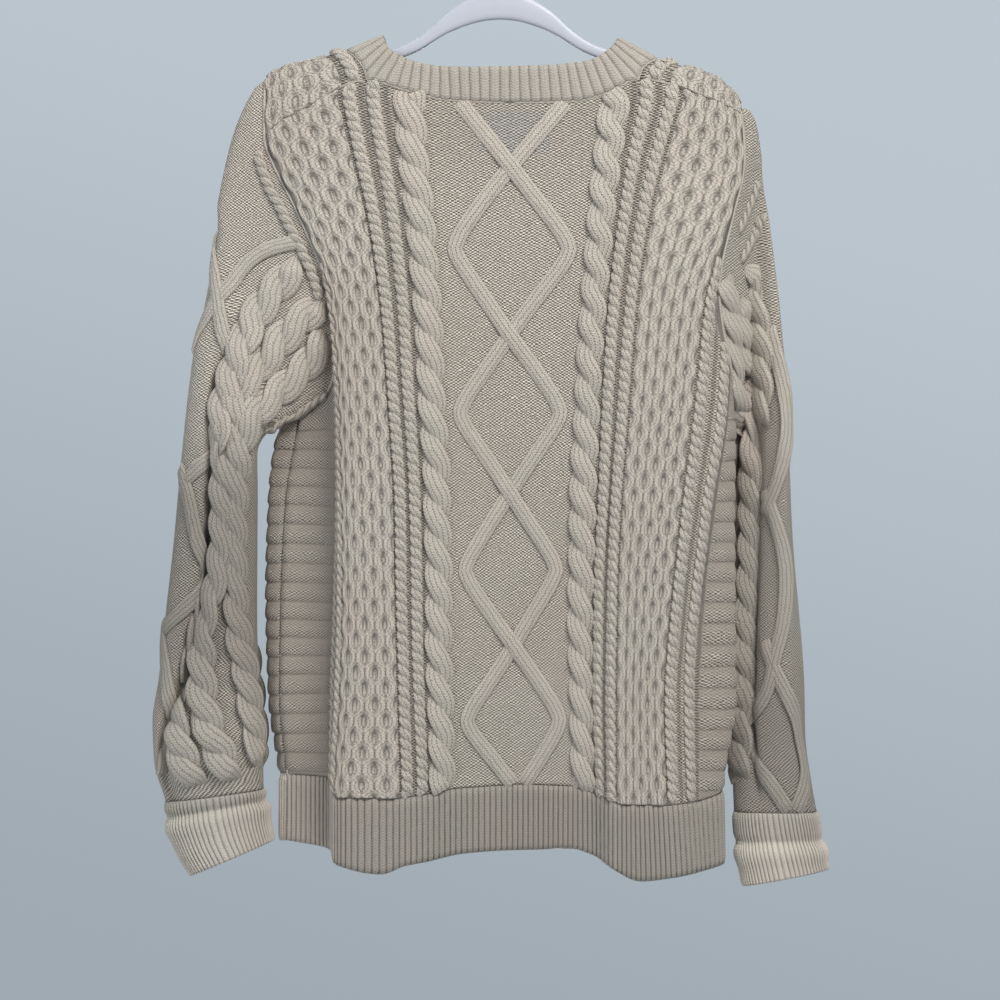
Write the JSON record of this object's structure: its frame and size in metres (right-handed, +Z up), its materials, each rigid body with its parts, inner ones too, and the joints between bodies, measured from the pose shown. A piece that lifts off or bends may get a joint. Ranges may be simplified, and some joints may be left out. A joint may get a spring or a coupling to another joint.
{
  "type": "cable knit sweater on a hanger",
  "caption": "Hip-length cable knit pullover with ribbed neck, hem and cuffs, hung flat on a plain hanger, seen from its back.",
  "frame": {"origin": "inner top of the hanger's hook, where it rests on a rail", "axes": "+Z up, +Y towards the garment's front, +X towards the wearer's right; its back faces -Y"},
  "size_m": [0.5828, 0.1245, 0.8272],
  "materials": {
    "knit": "soft fuzzy cream wool knit",
    "rib": "soft cream wool rib knit",
    "label": "plain woven tape, matt",
    "hanger": "smooth white"
  },
  "bodies": {
    "root": {"back_panel": "knit", "front_panel": "knit", "left_sleeve": "knit", "right_sleeve": "knit", "neckband": "rib", "back_hem_rib": "rib", "front_hem_rib": "rib", "left_cuff": "rib", "right_cuff": "rib", "neck_label": "label", "hanger": "hanger"}
  },
  "joints": []
}
